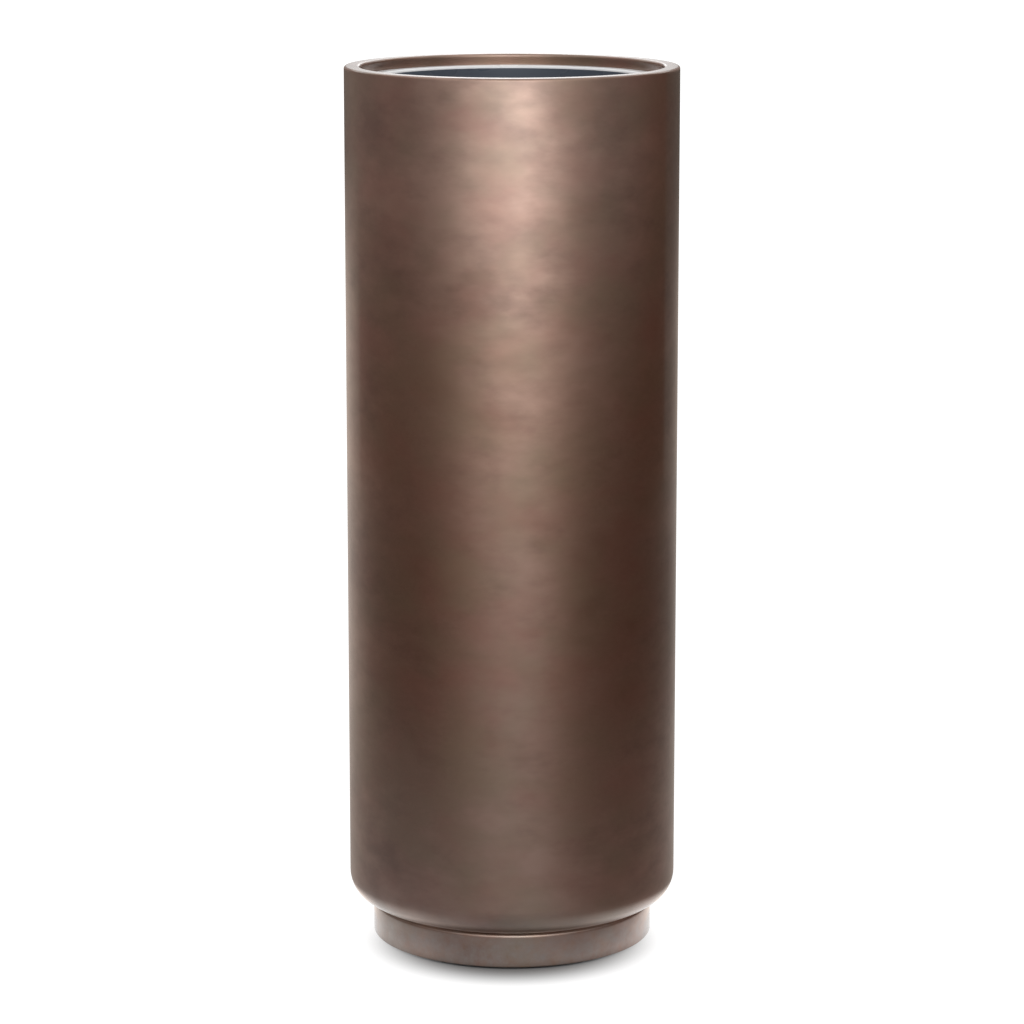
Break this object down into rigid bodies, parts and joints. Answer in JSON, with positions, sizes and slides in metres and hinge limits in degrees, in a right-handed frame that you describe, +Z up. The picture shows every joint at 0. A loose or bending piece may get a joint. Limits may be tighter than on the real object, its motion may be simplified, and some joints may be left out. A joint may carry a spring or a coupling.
{
  "type": "tall round planter with lift-out liner",
  "caption": "Tall round bronze-lacquered fiberglass floor planter on a recessed foot, with a dark lift-out liner set just below its rim and wire lifting handles.",
  "frame": {"origin": "centre of the face the planter stands on, on its vertical axis", "axes": "+Z up along the axis of the round body; the two liner handles lie on the X axis, +X called right; the front faces -Y"},
  "size_m": [0.381, 0.381, 1.016],
  "materials": {
    "bronze_lacquer": "satin",
    "foot_lacquer": "satin",
    "raw_fiberglass": "matte",
    "floor_panel": "satin",
    "liner_plastic": "satin",
    "rubber": "matte",
    "handle_steel": "satin",
    "fastener_steel": "satin"
  },
  "bodies": {
    "planter_body": {"outer_shell": "bronze_lacquer", "foot_ring": "foot_lacquer", "base_floor": "floor_panel", "liner_ledge_ring": "raw_fiberglass", "foot_pad_1": "rubber", "foot_pad_2": "rubber", "foot_pad_3": "rubber", "foot_pad_4": "rubber", "foot_pad_5": "rubber", "foot_pad_6": "rubber"},
    "liner_pot": {"liner": "liner_plastic", "lug_rivets": "fastener_steel", "rivet_washers": "fastener_steel", "left_front_lug": "fastener_steel", "left_rear_lug": "fastener_steel", "right_front_lug": "fastener_steel", "right_rear_lug": "fastener_steel"},
    "left_lifting_handle": {"left_handle": "handle_steel"},
    "right_lifting_handle": {"right_handle": "handle_steel"},
    "liner_plug": {"liner_drain_plug": "rubber"},
    "floor_plug": {"floor_drain_plug": "rubber"}
  },
  "joints": [
    {"name": "liner_lift", "type": "slide", "parent": "planter_body", "child": "liner_pot", "axis": [0, 0, 1], "range_m": [0, 0.33]},
    {"name": "right_handle_swing", "type": "hinge", "parent": "liner_pot", "child": "right_lifting_handle", "pos_m": [0.13672, 0, 0.9855], "axis": [0, 1, 0], "range_deg": [-18, 213]},
    {"name": "left_handle_swing", "type": "hinge", "parent": "liner_pot", "child": "left_lifting_handle", "pos_m": [-0.13672, 0, 0.9855], "axis": [0, -1, 0], "range_deg": [-18, 213]},
    {"name": "liner_plug_pull", "type": "slide", "parent": "liner_pot", "child": "liner_plug", "axis": [0, 0, 1], "range_m": [0, 0.03]},
    {"name": "floor_plug_pull", "type": "slide", "parent": "planter_body", "child": "floor_plug", "axis": [0, 0, 1], "range_m": [0, 0.03]}
  ]
}
